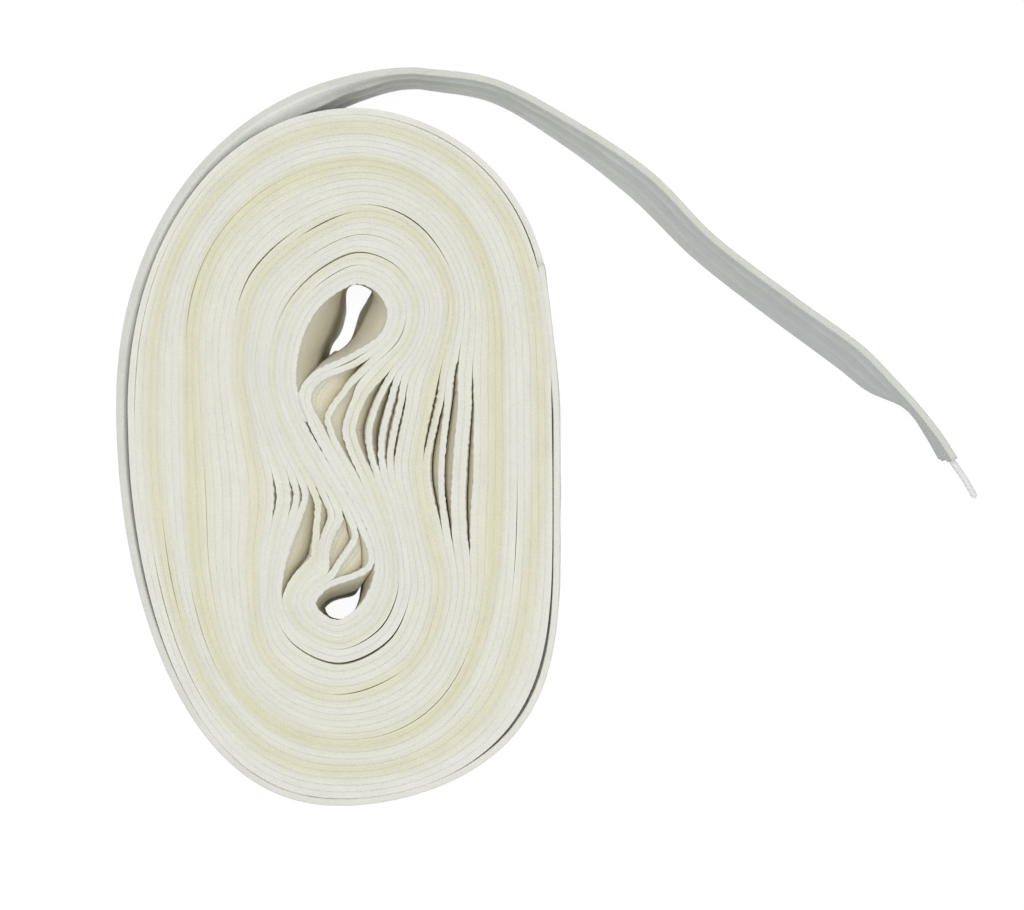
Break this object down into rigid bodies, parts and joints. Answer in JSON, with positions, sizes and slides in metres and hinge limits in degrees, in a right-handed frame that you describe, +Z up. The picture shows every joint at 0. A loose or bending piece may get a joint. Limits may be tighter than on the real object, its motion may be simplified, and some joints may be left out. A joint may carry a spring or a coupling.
{
  "type": "roll of curtain heading tape",
  "caption": "Roll of narrow cream curtain heading tape, squeezed flat sideways, with a loose end and a short length of drawcord standing out of its cut end.",
  "frame": {"origin": "middle of the wound body, on the wound end that the roll lies on", "axes": "+Z up along the winding axis, +X towards the free end, +Y along the longer side of the squeezed roll"},
  "size_m": [0.165, 0.1404, 0.025],
  "materials": {
    "woven_tape": "matt cream woven polyester tape",
    "drawcord": "matt white twisted cord"
  },
  "bodies": {
    "root": {"wound_tape": "woven_tape", "loose_end": "woven_tape", "drawcord_end": "drawcord"}
  },
  "joints": []
}
